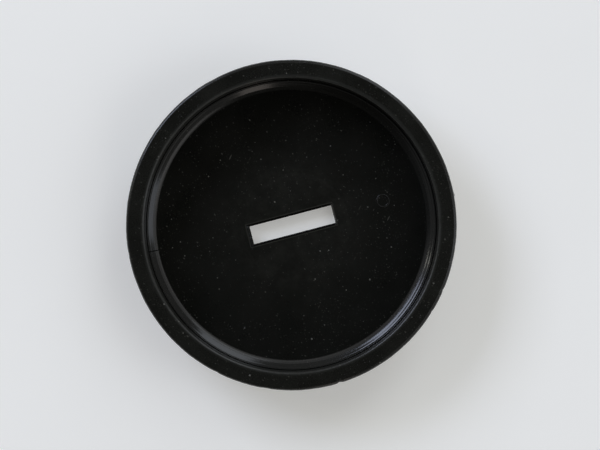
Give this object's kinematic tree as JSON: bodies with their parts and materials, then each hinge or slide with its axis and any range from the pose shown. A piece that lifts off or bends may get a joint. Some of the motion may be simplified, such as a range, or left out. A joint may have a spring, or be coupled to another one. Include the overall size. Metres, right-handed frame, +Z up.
{
  "type": "desk cable grommet",
  "caption": "Round black desk grommet: a flanged liner, a split retaining ring that lifts out of it, and a slotted disc that turns in the ring to pass a cable.",
  "frame": {"origin": "centre of the liner's bottom face, on the surface that the part stands on", "axes": "+Z up out of the desk, along the axis of the sleeve; +X along the slot at rest; +Y across the slot"},
  "size_m": [0.0308, 0.0308, 0.007],
  "materials": {
    "liner_plastic": "matte, fine grained",
    "ring_plastic": "gloss, with fine turned lines",
    "disc_plastic": "semi-gloss, lightly dusty"
  },
  "bodies": {
    "liner": {"liner": "liner_plastic"},
    "insert_ring": {"retaining_ring": "ring_plastic"},
    "disc": {"slotted_disc": "disc_plastic"}
  },
  "joints": [
    {"name": "insert_lift", "type": "slide", "parent": "liner", "child": "insert_ring", "axis": [0, 0, 1], "range_m": [0, 0.008]},
    {"name": "disc_turn", "type": "hinge", "parent": "insert_ring", "child": "disc", "pos_m": [0, 0, 0.00145], "axis": [0, 0, 1], "continuous": true}
  ]
}
